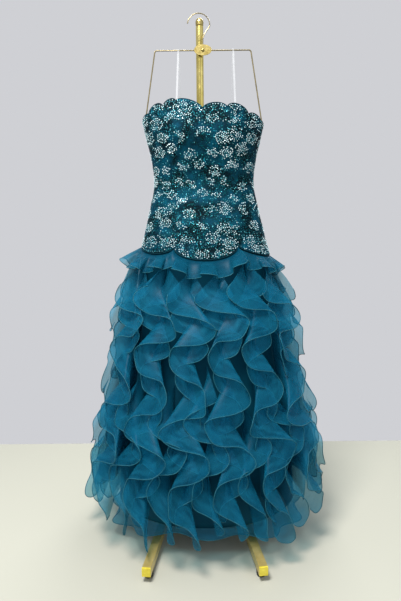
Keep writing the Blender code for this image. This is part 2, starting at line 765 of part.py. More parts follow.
def make_base():
    middle = FOOT_HEIGHT + SEAM_GAP + BAR / 2
    bar = box("base_crossbar", (2 * LEG_INNER_X + BAR, BAR, BAR), GOLD)
    bar.location = (POST_X, 0, middle)
    splay = (LEG_OUTER_X - LEG_INNER_X) / LEG_REACH
    start = BAR / 2 * (1 + splay) + SEAM_GAP
    for end, forward in (("front", -1), ("back", 1)):
        for hand, right in (("left", -1), ("right", 1)):
            inner = Vector((POST_X + right * LEG_INNER_X, forward * start, middle))
            outer = Vector((POST_X + right * LEG_OUTER_X, forward * LEG_REACH, middle))
            run = outer - inner
            long = run.length - CAP_LONG - SEAM_GAP
            turn = math.atan2(run.y, run.x)
            way = run.normalized()
            leg = box(f"leg_{end}_{hand}", (long, BAR, BAR), GOLD)
            leg.location = inner + way * (long / 2)
            leg.rotation_euler.z = turn
            cap = box(f"leg_cap_{end}_{hand}", (CAP_LONG, BAR, BAR), CAP_GOLD)
            cap.location = outer - way * (CAP_LONG / 2)
            cap.rotation_euler.z = turn
            foot = turned(
                f"foot_{end}_{hand}",
                [
                    (0, FOOT_HEIGHT),
                    (FOOT_RADIUS * 0.92, FOOT_HEIGHT),
                    (FOOT_RADIUS, FOOT_HEIGHT * 0.8),
                    (FOOT_RADIUS, FOOT_HEIGHT * 0.3),
                    (FOOT_RADIUS * 0.85, 0),
                    (0, 0),
                ],
                RUBBER,
                16,
            )
            foot.location = outer - way * FOOT_FROM_END
            foot.location.z = 0


COLLECTION, ROOT = start_scene()
LINING_RINGS = lining_rings()
ARC = lining_arc()
make_bodice()
make_lining()
make_band()
make_ruffles()
make_frills()
make_post()
make_frame()
make_plate()
make_hook()
make_loops()
make_base()
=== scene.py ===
# Strapless ruffled gown on its gold display stand: finishes, beading and fine cloth.
# Metres, +Z up, the gown's front towards -Y.

import math
import random

import bpy
from mathutils import Matrix, Vector, noise


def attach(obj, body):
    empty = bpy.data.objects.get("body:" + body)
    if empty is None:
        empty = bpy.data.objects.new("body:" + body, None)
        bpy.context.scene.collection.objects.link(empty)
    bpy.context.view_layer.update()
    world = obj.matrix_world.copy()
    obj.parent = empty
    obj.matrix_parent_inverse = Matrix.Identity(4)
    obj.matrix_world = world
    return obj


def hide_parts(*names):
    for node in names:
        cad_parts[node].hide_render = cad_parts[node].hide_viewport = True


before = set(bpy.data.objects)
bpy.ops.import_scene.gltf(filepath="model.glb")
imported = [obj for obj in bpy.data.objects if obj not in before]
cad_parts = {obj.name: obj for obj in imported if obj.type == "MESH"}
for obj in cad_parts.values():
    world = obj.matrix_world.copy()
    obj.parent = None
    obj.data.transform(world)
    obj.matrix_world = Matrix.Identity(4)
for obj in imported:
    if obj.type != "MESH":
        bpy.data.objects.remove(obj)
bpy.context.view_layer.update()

# The gown's own axis lies a little off the middle of the whole object's box
gownAxis = Vector((0.0003, -0.0007, 0.0))
frontAngle = -math.pi / 2


# Studio

studio = {
    "camera": (-0.0136, -1.5506, 0.928),
    "pitchDown": 7.5,  # degrees
    "roll": -0.56,
    "lens": 29.95,
    "sensor": 36,
    "floorCorners": ((-4.5, -6.0), (4.5, 0.60)),
    "floorColour": (0.458, 0.462, 0.398),
    "skyColour": (0.945, 0.955, 1.0, 1),
    "sky": 0.66,
    "lampAim": (0, 0, 0.8),
}
# Lamps: name, place, size, watts, colour
lamps = [
    ("ceilingLamp", (-0.5, -1.1, 2.7), 0.7, 96, (1.0, 0.98, 0.95)),
    ("fillLamp", (1.6, -1.6, 1.6), 1.4, 4, (0.92, 0.96, 1.0)),
    ("backLamp", (0.3, 1.2, 2.6), 1.0, 24, (0.98, 0.99, 1.0)),
]


def makeCamera():
    lens = bpy.data.cameras.new("photoCamera")
    lens.lens = studio["lens"]
    lens.sensor_width = studio["sensor"]
    camera = bpy.data.objects.new("photoCamera", lens)
    turn = Matrix.Rotation(math.radians(90 - studio["pitchDown"]), 4, "X")
    roll = Matrix.Rotation(math.radians(studio["roll"]), 4, "Z")
    camera.matrix_world = Matrix.Translation(studio["camera"]) @ turn @ roll
    bpy.context.scene.collection.objects.link(camera)
    bpy.context.scene.camera = camera


def makeStudio():
    (left, near), (right, far) = studio["floorCorners"]
    points = [(left, near, 0), (right, near, 0), (right, far, 0), (left, far, 0)]
    mesh = bpy.data.meshes.new("studioFloor")
    mesh.from_pydata(points, [], [(0, 1, 2, 3)])
    floor = bpy.data.objects.new("studioFloor", mesh)
    bpy.context.scene.collection.objects.link(floor)
    mesh.materials.append(floorFinish())
    world = bpy.data.worlds.new("studioSky")
    world.use_nodes = True
    sky = world.node_tree.nodes["Background"]
    sky.inputs["Color"].default_value = studio["skyColour"]
    sky.inputs["Strength"].default_value = studio["sky"]
    bpy.context.scene.world = world
    bpy.context.scene.view_settings.view_transform = "Standard"
    for name, place, size, watts, colour in lamps:
        light = bpy.data.lights.new(name, "AREA")
        light.size, light.energy, light.color = size, watts, colour
        lamp = bpy.data.objects.new(name, light)
        lamp.location = place
        aim = Vector(studio["lampAim"]) - Vector(place)
        lamp.rotation_euler = aim.to_track_quat("-Z", "Y").to_euler()
        bpy.context.scene.collection.objects.link(lamp)


# Finishes


# A node material that is built up a few nodes at a time.
class Finish:
    def __init__(self, name, **sockets):
        self.material = bpy.data.materials.new(name)
        self.material.use_nodes = True
        self.nodes = self.material.node_tree.nodes
        self.shader = self.nodes["Principled BSDF"]
        for socket, value in sockets.items():
            self.shader.inputs[socket.replace("_", " ")].default_value = value

    # A node with its settings, and its sockets wired or set from wires.
    def add(self, kind, wires=None, **settings):
        node = self.nodes.new("ShaderNode" + kind)
        for key, value in settings.items():
            setattr(node, key, value)
        for socket, value in (wires or {}).items():
            self.wire(node.inputs[socket], value)
        return node

    def wire(self, socket, value):
        if isinstance(value, bpy.types.NodeSocket):
            self.material.node_tree.links.new(value, socket)
        else:
            socket.default_value = value

    def place(self):
        return self.add("TexCoord").outputs["Object"]

    def cloudy(self, scale, detail=3.0, rough=0.55, where=None, stretch=None):
        where = where or self.place()
        if stretch:
            where = self.add("Mapping", {"Vector": where, "Scale": stretch}).outputs[0]
        wires = {"Vector": where, "Scale": scale, "Detail": detail, "Roughness": rough}
        return self.add("TexNoise", wires).outputs["Fac"]

    def span(self, value, low, high, start=0.0, end=1.0):
        wires = {"Value": value, "From Min": low, "From Max": high, "To Min": start, "To Max": end}
        return self.add("MapRange", wires).outputs[0]

    def ramp(self, value, *stops):
        node = self.add("ValToRGB", {"Fac": value})
        elements = node.color_ramp.elements
        while len(elements) < len(stops):
            elements.new(0.5)
        for element, (spot, colour) in zip(elements, stops):
            element.position = spot
            element.color = (*colour, 1)
        return node.outputs["Color"]

    def sums(self, kind, a, b):
        node = self.add("Math", operation=kind)
        self.wire(node.inputs[0], a)
        self.wire(node.inputs[1], b)
        return node.outputs[0]

    def blend(self, share, a, b):
        node = self.add("Mix", data_type="RGBA")
        for socket, value in ((0, share), (6, a), (7, b)):
            self.wire(node.inputs[socket], value)
        return node.outputs[2]

    def bump(self, height, strength, distance):
        wires = {"Height": height, "Strength": strength, "Distance": distance}
        self.set("Normal", self.add("Bump", wires).outputs["Normal"])

    def set(self, socket, value):
        self.wire(self.shader.inputs[socket], value)

    # Gaps between threads: share is cloth, the rest lets tinted light past.
    def showThrough(self, share, tint):
        gaps = self.add("BsdfTransparent", {"Color": tint}).outputs[0]
        both = self.add("MixShader")
        for socket, value in ((0, share), (1, gaps), (2, self.shader.outputs[0])):
            self.wire(both.inputs[socket], value)
        self.wire(self.nodes["Material Output"].inputs["Surface"], both.outputs[0])


organzaLook = {
    "sheen": 0.28,
    "sheenTint": (0.04, 0.50, 0.80, 1),
    "dark": (0.001, 0.054, 0.102),
    "middle": (0.002, 0.084, 0.154),
    "light": (0.004, 0.126, 0.225),
    "slub": (0.006, 0.150, 0.255, 1),
    # Painted shade: a darker colour laid on the cloth near its seam, fading out over the width below.
    "gathersAndSeamShade": (0.0005, 0.026, 0.050, 1),
    "seamShadeWidth": 0.080,  # metres across the cloth, from its seam
    "cover": (0.88, 0.46),  # share that hides what is behind: at the seam, further out
    "coverWidth": 0.060,
    "through": (0.54, 0.88, 0.97, 1),  # colour of the light that passes
}


# Sheer crisp cloth: denser in the gathers at its seam, with painted shade that darkens its colour
# there, and a soft slub.
def organzaFinish():
    look = organzaLook
    cloth = Finish(
        "sheerOrganza", Sheen_Weight=look["sheen"], Sheen_Roughness=0.45, Specular_IOR_Level=0.08
    )
    cloth.shader.inputs["Sheen Tint"].default_value = look["sheenTint"]
    cut = cloth.add("UVMap").outputs["UV"]
    across = cloth.add("SeparateXYZ", {"Vector": cut}).outputs["X"]
    slub = cloth.cloudy(1.0, 4.0, 0.6, cut, (90.0, 14.0, 1.0))
    clouds = cloth.cloudy(9.0)
    deep = cloth.ramp(clouds, (0.32, look["dark"]), (0.52, look["middle"]), (0.72, look["light"]))
    tint = cloth.blend(cloth.span(slub, 0.35, 0.75), deep, look["slub"])
    # Painted shade: the colour darkens towards the seam.
    shaded = cloth.blend(cloth.span(across, 0.0, look["seamShadeWidth"]), look["gathersAndSeamShade"], tint)
    cloth.set("Base Color", shaded)
    cloth.set("Roughness", cloth.span(slub, 0.3, 0.7, 0.34, 0.48))
    dense = cloth.span(across, 0.0, look["coverWidth"], *look["cover"])
    threads = cloth.span(slub, 0.3, 0.7, -0.05, 0.06)
    cloth.bump(slub, 0.25, 0.0012)
    cloth.showThrough(cloth.sums("ADD", dense, threads), look["through"])
    return cloth.material


def rolledEdgeFinish():
    thread = Finish("rolledEdgeThread", Specular_IOR_Level=0.25)
    cut = thread.add("UVMap").outputs["UV"]
    wraps = thread.add(
        "TexWave", {"Vector": cut, "Scale": 320.0, "Distortion": 0.6}, bands_direction="Y"
    ).outputs["Fac"]
    thread.set(
        "Base Color", thread.ramp(wraps, (0.0, (0.003, 0.055, 0.085)), (1.0, (0.015, 0.150, 0.200)))
    )
    thread.set("Roughness", thread.span(wraps, 0.0, 1.0, 0.55, 0.38))
    thread.bump(wraps, 0.5, 0.0004)
    return thread.material


laceLook = {
    "patchScale": 21.0,
    "cordScale": 330.0,
    "cord": (0.0003, 0.022, 0.034, 1),
    "hollow": (0.0001, 0.005, 0.008, 1),
    "satinDark": (0.0004, 0.025, 0.047),
    "satinLight": (0.001, 0.062, 0.108),
}


# Dark lace ground with bluish satin patches; fine cord relief between the sewn stones.
def laceFinish():
    look = laceLook
    lace = Finish("beadedLaceGround", Specular_IOR_Level=0.05)
    patch = lace.span(lace.cloudy(look["patchScale"], 3.0, 0.55), 0.44, 0.66)
    cells = lace.add("TexVoronoi", {"Vector": lace.place(), "Scale": look["cordScale"]})
    dots = lace.span(cells.outputs["Distance"], 0.05, 0.55)
    dark = lace.blend(dots, look["cord"], look["hollow"])
    satin = lace.ramp(lace.cloudy(60.0, 3.0, 0.6), (0.3, look["satinDark"]), (0.7, look["satinLight"]))
    lace.set("Base Color", lace.blend(patch, dark, satin))
    lace.set("Roughness", lace.span(dots, 0.0, 1.0, 0.38, 0.70))
    lace.bump(dots, 0.7, 0.0009)
    return lace.material


def satinFinish(name, low, high, roughness):
    satin = Finish(name, Specular_IOR_Level=0.06)
    warp = satin.cloudy(1.0, 3.0, 0.6, stretch=(700.0, 700.0, 60.0))
    satin.set("Base Color", satin.ramp(satin.cloudy(8.0), (0.3, low), (0.7, high)))
    satin.set("Roughness", satin.span(warp, 0.3, 0.7, roughness - 0.08, roughness + 0.10))
    satin.bump(warp, 0.25, 0.0003)
    return satin.material


def metalFinish(name, low, high, roughness, wear, metallic):
    metal = Finish(name, Metallic=metallic)
    metal.set("Base Color", metal.ramp(metal.cloudy(wear, 4.0, 0.6), (0.3, low), (0.7, high)))
    haze = metal.cloudy(wear * 2.2, 3.0, 0.6)
    metal.set("Roughness", metal.span(haze, 0.25, 0.75, roughness - 0.07, roughness + 0.10))
    metal.bump(metal.cloudy(900.0, 2.0, 0.5), 0.06, 0.0002)
    return metal.material


def floorFinish():
    floor = Finish("studioFloor", Specular_IOR_Level=0.1)
    floor.set("Base Color", (*studio["floorColour"], 1))
    floor.set("Roughness", floor.span(floor.cloudy(3.0), 0.3, 0.7, 0.75, 0.90))
    return floor.material


def plasticFinish(name, low, high, roughness, **sockets):
    plastic = Finish(name, **sockets)
    plastic.set("Base Color", plastic.ramp(plastic.cloudy(70.0), (0.3, low), (0.7, high)))
    grain = plastic.cloudy(1400.0, 2.0, 0.5)
    plastic.set("Roughness", plastic.span(grain, 0.3, 0.7, roughness - 0.06, roughness + 0.08))
    plastic.bump(grain, 0.12, 0.0002)
    return plastic.material


# Satins and plastics: name, darker colour, lighter colour, roughness
satins = {
    "facing": ("bodiceFacing", (0.002, 0.022, 0.034), (0.005, 0.045, 0.065), 0.55),
    "lining": ("skirtLining", (0.0005, 0.026, 0.048), (0.0015, 0.050, 0.082), 0.60),
    "binding": ("scallopBinding", (0.001, 0.018, 0.028), (0.004, 0.045, 0.065), 0.50),
}
plastics = {
    "cap": ("yellowCap", (0.62, 0.50, 0.03), (0.82, 0.70, 0.08), 0.32),
    "rubber": ("footRubber", (0.010, 0.010, 0.011), (0.026, 0.026, 0.028), 0.62),
    "tape": ("clearTape", (0.46, 0.48, 0.50), (0.58, 0.60, 0.62), 0.30),
}
plasticSockets = {"tape": {"Alpha": 0.15, "Specular_IOR_Level": 0.15}}
# Stones, sequins and metals: name, two colours, roughness, scale of the wear, how metallic
metals = {
    "stone": ("cutStone", (0.36, 0.60, 0.66), (0.74, 0.90, 0.94), 0.14, 400.0, 0.2),
    "dimStone": ("dimStone", (0.06, 0.24, 0.29), (0.22, 0.46, 0.50), 0.18, 400.0, 0.3),
    "tealStone": ("tealStone", (0.03, 0.20, 0.24), (0.12, 0.40, 0.45), 0.20, 400.0, 0.4),
    "tealSequin": ("tealSequin", (0.002, 0.055, 0.080), (0.006, 0.13, 0.165), 0.28, 300.0, 0.95),
    "darkSequin": ("darkSequin", (0.001, 0.03, 0.035), (0.004, 0.08, 0.08), 0.30, 300.0, 0.95),
    "paleSequin": ("paleSequin", (0.03, 0.26, 0.33), (0.10, 0.46, 0.53), 0.30, 300.0, 0.6),
    "gold": ("goldPlating", (0.58, 0.44, 0.13), (0.76, 0.62, 0.25), 0.34, 26.0, 0.55),
    "plateGold": ("satinGold", (0.30, 0.23, 0.07), (0.46, 0.38, 0.15), 0.34, 90.0, 1.0),
    "postGold": ("postGold", (0.52, 0.42, 0.10), (0.74, 0.62, 0.22), 0.20, 26.0, 1.0),
    "wire": ("frameWire", (0.16, 0.13, 0.06), (0.32, 0.27, 0.15), 0.30, 60.0, 0.8),
}
finishes = {"organza": organzaFinish(), "rolledEdge": rolledEdgeFinish(), "lace": laceFinish()}
for key, row in satins.items():
    finishes[key] = satinFinish(*row)
for key, row in metals.items():
    finishes[key] = metalFinish(*row)
for key, row in plastics.items():
    finishes[key] = plasticFinish(*row, **plasticSockets.get(key, {}))
makeCamera()
makeStudio()
print("studio ready, finishes ready:", len(finishes))


# Building pieces


# A mesh in the gown's own axes, moved to the frame. cut gives each point's place on the flat cloth.
def newPiece(name, points, faces, materials, picks=None, cut=None, smooth=True):
    mesh = bpy.data.meshes.new(name)
    mesh.from_pydata([Vector(p) + gownAxis for p in points], [], faces)
    for key in materials:
        mesh.materials.append(finishes[key])
    if picks:
        mesh.polygons.foreach_set("material_index", picks)
    if smooth:
        mesh.shade_smooth()
    if cut:
        layer = mesh.uv_layers.new(name="cut")
        for loop in mesh.loops:
            layer.data[loop.index].uv = cut[loop.vertex_index]
    mesh.validate()
    piece = bpy.data.objects.new(name, mesh)
    bpy.context.scene.collection.objects.link(piece)
    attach(piece, "root")
    return piece


def gridFaces(tall, wide, first=0, flip=False):
    faces = []
    for r in range(tall - 1):
        for c in range(wide - 1):
            a = first + r * wide + c
            face = (a, a + wide, a + wide + 1, a + 1)
            faces.append(face[::-1] if flip else face)
    return faces


# Faces of a wall whose outer grid is followed by its inner grid, closed round the edge.
def shellFaces(tall, wide):
    count = tall * wide
    faces = gridFaces(tall, wide) + gridFaces(tall, wide, count, True)
    for r in range(tall - 1):
        for c, turn in ((0, 1), (wide - 1, -1)):
            a, b = r * wide + c, (r + 1) * wide + c
            faces.append((a, a + count, b + count, b)[::turn])
    for c in range(wide - 1):
        for r, turn in ((0, -1), (tall - 1, 1)):
            a, b = r * wide + c, r * wide + c + 1
            faces.append((a, a + count, b + count, b)[::turn])
    return faces


# Points and faces of a round tube along a path.
def tubeAlong(path, radius, sides=6, closed=False):
    points, faces = [], []
    count = len(path)
    side = None
    for k, place in enumerate(path):
        before = path[k - 1] if k or closed else path[k]
        after = path[(k + 1) % count] if k + 1 < count or closed else path[k]
        way = (after - before).normalized()
        if side is None:
            side = way.orthogonal().normalized()
        side = (side - way * side.dot(way)).normalized()
        other = way.cross(side)
        for n in range(sides):
            turn = 2 * math.pi * n / sides
            points.append(place + (side * math.cos(turn) + other * math.sin(turn)) * radius)
    for k in range(count if closed else count - 1):
        for n in range(sides):
            a, b = k * sides + n, k * sides + (n + 1) % sides
            c, d = (a + sides) % len(points), (b + sides) % len(points)
            faces.append((a, b, d, c))
    if not closed:
        faces.append(tuple(range(sides))[::-1])
        faces.append(tuple(len(points) - sides + n for n in range(sides)))
    return points, faces


# The ring's sizes at a height, on a smooth curve through the table's rows.
def readRings(rings, height):
    rows = sorted(rings)
    if height <= rows[0][0]:
        return rows[0][1:]
    if height >= rows[-1][0]:
        return rows[-1][1:]
    k = next(i for i in range(len(rows) - 1) if rows[i + 1][0] >= height)
    low, high = rows[k], rows[k + 1]
    before, after = rows[max(k - 1, 0)], rows[min(k + 2, len(rows) - 1)]
    span = high[0] - low[0]
    t = (height - low[0]) / span
    sizes = []
    for n in range(1, len(low)):
        slopeLow = (high[n] - before[n]) / (high[0] - before[0]) * span
        slopeHigh = (after[n] - low[n]) / (after[0] - low[0]) * span
        sizes.append(
            (2 * t**3 - 3 * t**2 + 1) * low[n]
            + (t**3 - 2 * t**2 + t) * slopeLow
            + (3 * t**2 - 2 * t**3) * high[n]
            + (t**3 - t**2) * slopeHigh
        )
    return sizes


# Bodice

bodice = {
    "wall": 0.0016,
    "seamGap": 0.0003,
    "bust": (0.078, 1.215, 0.012),  # each cup's x, its height, how far it stands out
    "cup": (0.052, 0.050),  # how wide and how tall each cup is
    "sideBlend": 0.8,  # how soon a back edge leaves the height that it has at the sides
    "waist": 1.03,  # height where distances round the bodice are taken
    "backNeck": (1.240, 6, 0.010),  # height, lobes, how far they swell
    "backHip": (0.885, 4, 0.026),
    "foldWidth": 0.013,
    "frontGrid": (132, 60),  # columns, rows
    "backGrid": (60, 50),
    "bindingRadius": 0.0013,
}
# Rings: height, half width, depth of the front half, depth of the back half
bodiceRings = [
    (1.320, 0.184, 0.092, 0.084),
    (1.262, 0.181, 0.096, 0.086),
    (1.204, 0.169, 0.094, 0.080),
    (1.151, 0.157, 0.082, 0.073),
    (1.080, 0.150, 0.068, 0.065),
    (1.009, 0.164, 0.076, 0.078),
    (0.955, 0.177, 0.088, 0.093),
    (0.900, 0.191, 0.099, 0.105),
    (0.840, 0.209, 0.114, 0.119),
]
# Scalloped edges: x at the valley, height there, how far the lobe to its right swells
neckScallops = [
    (-0.181, 1.262, 0.008),
    (-0.158, 1.273, 0.018),
    (-0.115, 1.288, 0.014),
    (-0.077, 1.300, 0.015),
    (-0.003, 1.277, 0.016),
    (0.066, 1.281, 0.020),
    (0.128, 1.265, 0.012),
    (0.168, 1.254, 0.005),
    (0.181, 1.248, 0.0),
]
hipScallops = [
    (-0.196, 0.896, 0.022),
    (-0.092, 0.895, 0.040),
    (0.098, 0.896, 0.010),
    (0.196, 0.868, 0.0),
]
# Soft drag folds over the hips: x and height of the middle, length, height of the ridge, lean
dragFolds = [
    (0.095, 0.985, 0.150, 0.0040, 0.30),
    (0.060, 0.945, 0.190, 0.0035, 0.22),
    (-0.070, 0.960, 0.140, 0.0030, -0.12),
    (-0.035, 1.015, 0.120, 0.0025, 0.10),
]


def scalloped(table, x):
    x = min(max(x, table[0][0]), table[-1][0])
    k = next(i for i in range(len(table) - 1) if table[i + 1][0] >= x)
    (x0, z0, swell), (x1, z1, _) = table[k], table[k + 1]
    t = (x - x0) / (x1 - x0)
    return z0 + (z1 - z0) * t, swell * math.sqrt(max(0.0, 4 * t * (1 - t)))


# Height of a scalloped edge all round: its table in front, even lobes behind.
def edgeHeight(angle, table, back, way):
    if math.sin(angle) <= 0:
        level, swell = scalloped(table, table[-1][0] * math.cos(angle))
        return level + way * swell
    height, lobes, swell = back
    side = table[-1][1] if math.cos(angle) > 0 else table[0][1]
    level = side + (height - side) * math.sin(angle) ** bodice["sideBlend"]
    return level + way * swell * abs(math.sin(angle * lobes))


def neckline(angle):
    return edgeHeight(angle, neckScallops, bodice["backNeck"], 1)


def hipEdge(angle):
    return edgeHeight(angle, hipScallops, bodice["backHip"], -1)


def drag(x, height):
    out = 0.0
    for midX, midZ, length, ridge, lean in dragFolds:
        along = (x - midX) * math.cos(lean) + (height - midZ) * math.sin(lean)
        across = (height - midZ) * math.cos(lean) - (x - midX) * math.sin(lean)
        out += ridge * math.exp(-((along / length * 2) ** 2) - (across / bodice["foldWidth"]) ** 2)
    return out


def bodicePoint(angle, height, out=0.0):
    wide, front, back = readRings(bodiceRings, height)
    x = wide * math.cos(angle)
    bulge = 0.0
    if math.sin(angle) < 0:
        cupX, cupZ, reach = bodice["bust"]
        cupWide, cupTall = bodice["cup"]
        for cup in (-cupX, cupX):
            away = ((x - cup) / cupWide) ** 2 + ((height - cupZ) / cupTall) ** 2
            bulge += reach * math.exp(-away)
        bulge += drag(x, height)
    deep = back if math.sin(angle) > 0 else front + bulge
    return Vector(((wide + out) * math.cos(angle), (deep + out) * math.sin(angle), height))


def bodiceNormal(angle, height):
    step = 0.002
    sideways = bodicePoint(angle + step, height) - bodicePoint(angle - step, height)
    upwards = bodicePoint(angle, height + step) - bodicePoint(angle, height - step)
    return sideways.cross(upwards).normalized()


# Angles against distance round the waist, from the middle of the front.
def girthTable():
    table, along, steps = [(0.0, frontAngle)], 0.0, 360
    waist = bodice["waist"]
    for k in range(1, steps + 1):
        a, b = (frontAngle + 2 * math.pi * n / steps for n in (k - 1, k))
        along += (bodicePoint(b, waist) - bodicePoint(a, waist)).length
        table.append((along, b))
    return table


girths = girthTable()
fullGirth = girths[-1][0]


def angleAt(distance):
    distance = distance % fullGirth
    k = next(i for i in range(len(girths) - 1) if girths[i + 1][0] >= distance)
    (d0, a0), (d1, a1) = girths[k], girths[k + 1]
    return a0 + (a1 - a0) * (distance - d0) / (d1 - d0)


# Moves a panel's end columns half a seam gap back from the seam's plane.
def seamed(point, angle, start, end):
    half = bodice["seamGap"] / 2
    if angle in (start, end):
        if abs(math.cos(angle)) < 0.5:
            point.x = half if start < math.pi / 2 else -half
        else:
            point.y = half if 0 < (start + end) / 2 < math.pi else -half
    return point


# Beading

beading = {
    "seed": 11,
    "stoneRadius": 0.0019,
    "stoneHeight": 0.0012,
    "stoneStep": 0.0057,
    "apart": 0.0045,
    "flowerRow": 0.042,
    "flowerStep": 0.050,
    "flowerRadius": (0.013, 0.023),
    "jitter": 0.011,
    "petalDepth": 0.18,
    "openShare": 0.40,  # of the flowers that show a part only
    "vineShare": 0.45,
    "vineStep": 0.0060,
    "looseStones": 3,  # beside each flower
    "looseReach": 0.03,
    "lowest": 0.868,  # height of the first row of flowers
    "highest": 1.30,
    "edgeStep": 0.0066,  # between stones along the scallops
    "stoneTilt": 0.22,
    "sequinRadius": 0.0019,
    "sequinStep": 0.0052,
    "sequinHeights": (0.85, 1.32),
    "sequinShare": (0.35, 0.92),  # on the satin patches, elsewhere
    "sequinTilt": 0.42,
    "fromSeam": 0.025,  # radians left free beside a seam
}


# Stones or sequins that sit on the bodice, gathered into one mesh.
class Scatter:
    def __init__(self):
        self.points, self.faces, self.picks = [], [], []
        self.taken = {}

    def free(self, place, apart):
        cell = tuple(int(v // 0.006) for v in place)
        for dx in (-1, 0, 1):
            for dy in (-1, 0, 1):
                for dz in (-1, 0, 1):
                    near = self.taken.get((cell[0] + dx, cell[1] + dy, cell[2] + dz), ())
                    if any((place - other).length < apart for other in near):
                        return False
        self.taken.setdefault(cell, []).append(place)
        return True

    # A cut stone, or a cupped sequin where top is 0.
    def stone(self, angle, height, radius, rise, pick, tilt=(0.0, 0.0), sides=6, top=0.55):
        normal = bodiceNormal(angle, height)
        side = Vector((0, 0, 1)).cross(normal).normalized()
        normal = (normal + side * tilt[0] + Vector((0, 0, tilt[1]))).normalized()
        side = (side - normal * side.dot(normal)).normalized()
        up = normal.cross(side)
        foot = bodicePoint(angle, height) + normal * 0.0002
        first = len(self.points)
        rings = [(radius, 0.0)] + ([(radius * top, rise)] if top else [])
        for size, lift in rings:
            for n in range(sides):
                turn = 2 * math.pi * (n + 0.5) / sides
                self.points.append(
                    foot + normal * lift + (side * math.cos(turn) + up * math.sin(turn)) * size
                )
        ring = [first + n for n in range(sides)]
        faces = [tuple(ring[::-1])]
        if top:
            faces += [(a, b, b + sides, a + sides) for a, b in zip(ring, ring[1:] + ring[:1])]
            faces.append(tuple(n + sides for n in ring))
        else:
            self.points.append(foot + normal * rise)
            faces += [(a, b, first + sides) for a, b in zip(ring, ring[1:] + ring[:1])]
        self.faces += faces
        self.picks += [pick] * len(faces)


def withinPanel(angle, height, start, end, edge):
    away = beading["fromSeam"]
    inside = start + away < angle < end - away
    return inside and hipEdge(angle) + edge < height < neckline(angle) - edge


# The angle at a distance round the waist, counted on from the panel's start.
def angleIn(distance, start):
    angle = angleAt(distance)
    while angle < start - 0.3:
        angle += 2 * math.pi
    while angle > start + 2 * math.pi - 0.3:
        angle -= 2 * math.pi
    return angle


# Flower clusters in a loose lattice, stray stones between them, and rows along the edges.
def sewStones(name, start, end, low, high, draw):
    stones = Scatter()
    radius, rise, lean = beading["stoneRadius"], beading["stoneHeight"], beading["stoneTilt"]

    def sew(distance, height, size=1.0, kinds=(0, 1, 2, 2)):
        angle = angleIn(distance, start)
        if not withinPanel(angle, height, start, end, 0.003):
            return
        if stones.free(bodicePoint(angle, height), beading["apart"]):
            tilt = (draw.uniform(-lean, lean), draw.uniform(-lean, lean))
            size *= draw.uniform(0.82, 1.12)
            stones.stone(angle, height, radius * size, rise * size, draw.choice(kinds), tilt)

    def sewFlower(x, z):
        size, twist = draw.uniform(*beading["flowerRadius"]), draw.uniform(0, 2 * math.pi)
        petals, rings = draw.choice((4, 5, 6)), max(2, round(size / beading["stoneStep"]))
        missing = draw.uniform(0.20, 0.48) if draw.random() < beading["openShare"] else 0.0
        sew(x, z, 1.1)
        for ring in range(1, rings + 1):
            reach = size * ring / rings
            count = max(5, round(2 * math.pi * reach / beading["stoneStep"]))
            for k in range(count):
                if k / count < missing or draw.random() < 0.04:
                    continue
                turn = 2 * math.pi * k / count + draw.uniform(-0.06, 0.06)
                dip = beading["petalDepth"] * ring / rings * (1 - abs(math.sin(turn * petals / 2)))
                away = reach * (1 - dip) * draw.uniform(0.95, 1.05)
                spots = (0, 0, 0, 0, 1) if ring == rings else (0, 0, 1)
                way = turn + twist
                sew(x + away * math.cos(way), z + away * math.sin(way) * 0.86, 1.0, spots)
        if draw.random() < beading["vineShare"]:
            way, bend = draw.uniform(0, 2 * math.pi), draw.uniform(-40, 40)
            step = beading["vineStep"]
            x, z = x + size * math.cos(way), z + size * math.sin(way)
            for k in range(draw.randint(3, 7)):
                x, z = x + step * math.cos(way), z + step * math.sin(way)
                way += bend * step
                sew(x, z, 0.9)

    row, height, reach = 0, beading["lowest"], beading["looseReach"]
    while height < beading["highest"]:
        across = low - (0.5 * (row % 2)) * beading["flowerStep"]
        while across < high + 0.02:
            x = across + draw.uniform(-1, 1) * beading["jitter"]
            z = height + draw.uniform(-1, 1) * beading["jitter"]
            sewFlower(x, z)
            for _ in range(beading["looseStones"]):
                beside = x + draw.uniform(-reach, reach)
                sew(beside, z + draw.uniform(-reach, reach), 0.80, (1, 2, 2))
            across += beading["flowerStep"]
        height += beading["flowerRow"]
        row += 1
    distance = low
    while distance < high:
        angle = angleIn(distance, start)
        top, edge = neckline(angle), hipEdge(angle)
        sew(distance, top - 0.0045, 0.9, (0, 1, 2))
        sew(distance + 0.003, top - draw.uniform(0.010, 0.014), 0.9)
        sew(distance, edge + 0.006, 0.85, (0, 1, 2))
        for _ in range(3):
            sew(distance, top - draw.uniform(0.012, 0.050), 0.9)
            sew(distance, edge + draw.uniform(0.010, 0.055), 0.85)
        distance += beading["edgeStep"]
    kinds = ["stone", "dimStone", "tealStone"]
    return newPiece(name, stones.points, stones.faces, kinds, stones.picks, smooth=False)


# Small cupped sequins all over the ground, thinner on the satin patches.
def sewSequins(name, start, end, low, high, draw):
    sequins = Scatter()
    step, lean = beading["sequinStep"], beading["sequinTilt"]
    onSatin, onLace = beading["sequinShare"]
    height, highest = beading["sequinHeights"]
    while height < highest:
        across = low + draw.uniform(0, step)
        while across < high:
            x, z = across + draw.uniform(-0.4, 0.4) * step, height + draw.uniform(-0.4, 0.4) * step
            angle = angleIn(x, start)
            bare = noise.noise(Vector((x * 24, z * 24, start))) > 0.12
            share = onSatin if bare else onLace
            if withinPanel(angle, z, start, end, 0.0028) and draw.random() < share:
                tilt = (draw.uniform(-lean, lean), draw.uniform(-lean, lean))
                pick = draw.choice((0, 0, 0, 0, 1, 1, 1, 2))
                size = beading["sequinRadius"] * draw.uniform(0.65, 1.05)
                sequins.stone(angle, z, size, 0.0005, pick, tilt, top=0)
            across += step
        height += step * 0.9
    kinds = ["tealSequin", "darkSequin", "paleSequin"]
    return newPiece(
        name, sequins.points, sequins.faces, kinds, sequins.picks, smooth=False
    )


